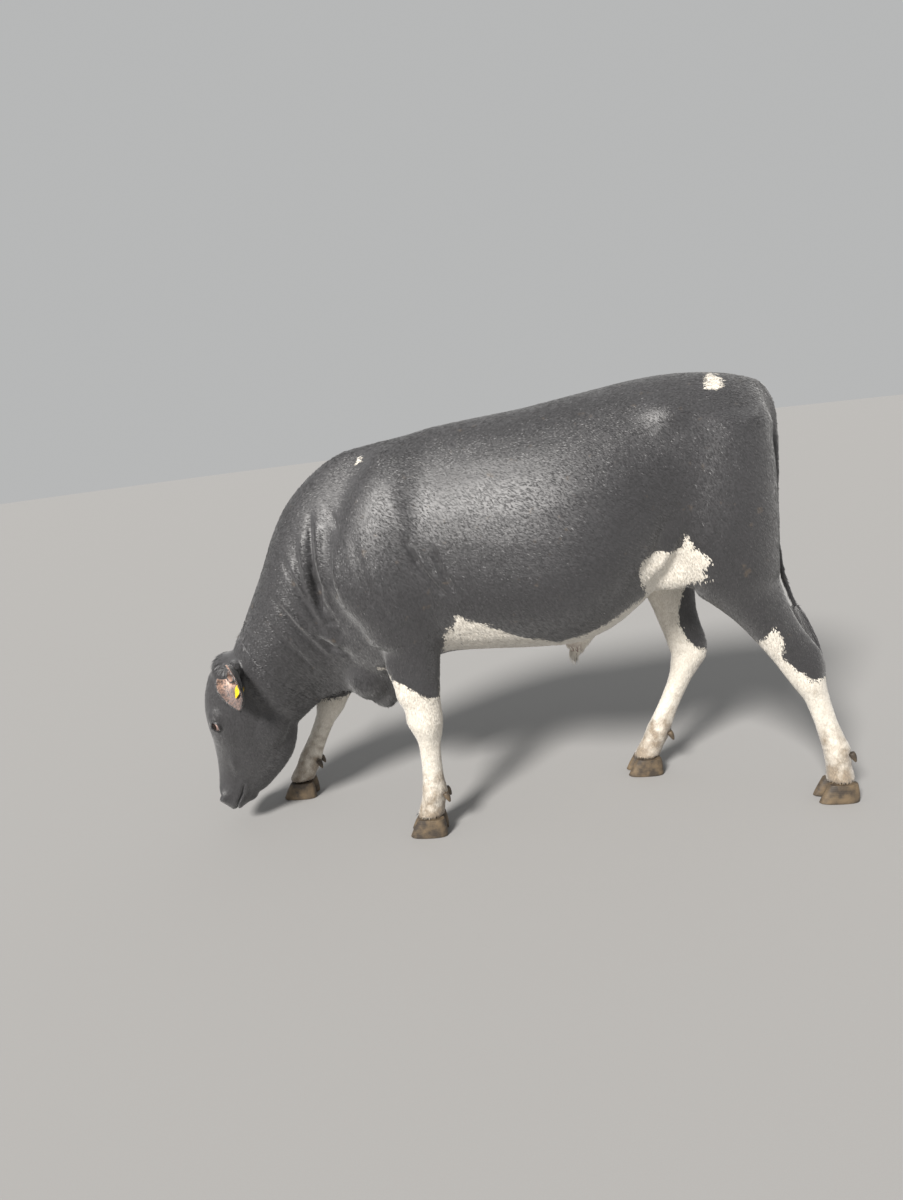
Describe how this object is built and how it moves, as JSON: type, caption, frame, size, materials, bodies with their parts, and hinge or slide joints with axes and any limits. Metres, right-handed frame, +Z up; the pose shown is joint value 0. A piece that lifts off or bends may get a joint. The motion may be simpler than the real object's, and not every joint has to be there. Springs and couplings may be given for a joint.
{
  "type": "friesian bull, life-size still model",
  "caption": "Life-size still model of a walking young Friesian bull with its head lowered to the ground, black with white legs, belly and flank patch.",
  "frame": {"origin": "middle of the bounding box at floor level, under the soles of the claws", "axes": "the head points to -X, the bull's left side faces -Y, +Z is up"},
  "size_m": [2.2438, 0.6878, 1.4491],
  "materials": {
    "black_coat": "short, close, glossy black hair",
    "white_coat": "short white hair, stained with mud towards the feet",
    "pink_skin": "bare pinkish skin with sparse pale hair",
    "horn": "dark claw horn, ringed, dull and dirty",
    "eye": "dark brown wet eye",
    "yellow_plastic": "moulded yellow polyurethane, slightly worn"
  },
  "bodies": {
    "root": {"claw_fore_left_left": "horn", "claw_fore_left_right": "horn", "claw_fore_right_left": "horn", "claw_fore_right_right": "horn", "claw_hind_left_left": "horn", "claw_hind_left_right": "horn", "claw_hind_right_left": "horn", "claw_hind_right_right": "horn", "dewclaw_fore_left_left": "horn", "dewclaw_fore_left_right": "horn", "dewclaw_fore_right_left": "horn", "dewclaw_fore_right_right": "horn", "dewclaw_hind_left_left": "horn", "dewclaw_hind_left_right": "horn", "dewclaw_hind_right_left": "horn", "dewclaw_hind_right_right": "horn", "ear_left": "black_coat", "ear_right": "black_coat", "ear_tag": "yellow_plastic", "eye_left": "eye", "eye_right": "eye", "foreleg_left": "white_coat", "foreleg_right": "white_coat", "head": "black_coat", "hindleg_left": "white_coat", "hindleg_right": "white_coat", "neck": "black_coat", "sheath": "pink_skin", "tail": "black_coat", "tail_switch": "black_coat", "trunk": "black_coat"}
  },
  "joints": []
}
